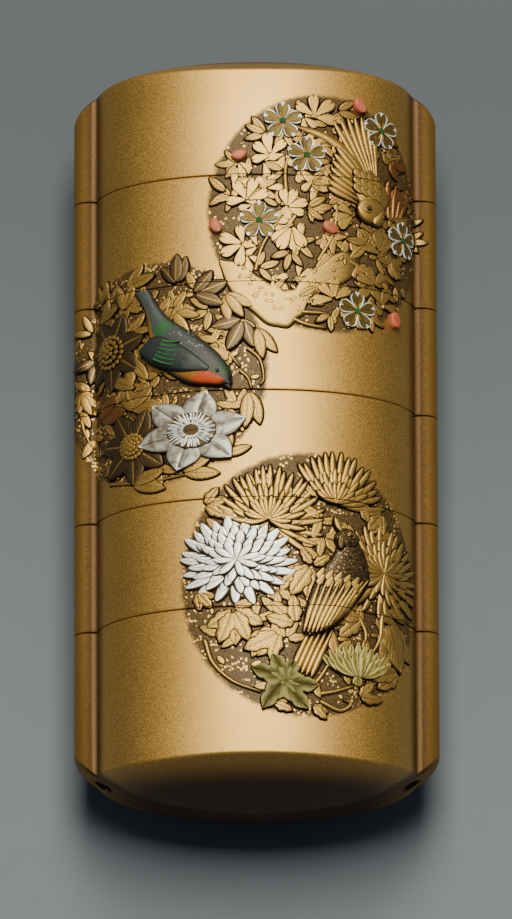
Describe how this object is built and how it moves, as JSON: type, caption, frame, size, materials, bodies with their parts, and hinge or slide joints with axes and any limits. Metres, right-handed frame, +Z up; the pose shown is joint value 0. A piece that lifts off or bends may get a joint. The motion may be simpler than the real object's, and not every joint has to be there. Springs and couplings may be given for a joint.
{
  "type": "inro case",
  "caption": "Small tiered box of gold lacquer with a lens-shaped section, domed ends, a cord runner down each side and roundels of birds and flowers in relief and inlay.",
  "frame": {"origin": "middle of the narrow flat along the back that the closed box lies on, halfway along its length", "axes": "+Y along the length, towards the lid; +Z up, out of the front face; X across the width, from runner to runner"},
  "size_m": [0.046, 0.0998, 0.0255],
  "materials": {
    "gold_lacquer": "fine gold powder lacquer, satin, over a thin wooden core, with roundels of brown lacquer and raised gold and pewter-coloured relief",
    "shell": "polished white shell with a faint play of colour",
    "coral": "polished salmon coral",
    "stained_blue": "stained and polished inlay in blue-grey, green, ochre and red",
    "stained_green": "stained pale green inlay, polished"
  },
  "bodies": {
    "root": {"lid": "gold_lacquer", "case_1": "gold_lacquer", "case_2": "gold_lacquer", "case_3": "gold_lacquer", "case_4": "gold_lacquer", "case_5": "gold_lacquer", "blossom_1": "shell", "blossom_2": "shell", "blossom_3": "shell", "blossom_4": "shell", "blossom_5": "shell", "blossom_6": "shell", "coral_bud_1": "coral", "coral_bud_2": "coral", "coral_bud_3": "coral", "coral_bud_4": "coral", "coral_bud_5": "coral", "kingfisher": "stained_blue", "clematis": "shell", "chrysanthemum": "shell", "green_leaf": "stained_green", "green_chrysanthemum": "stained_green"}
  },
  "joints": []
}
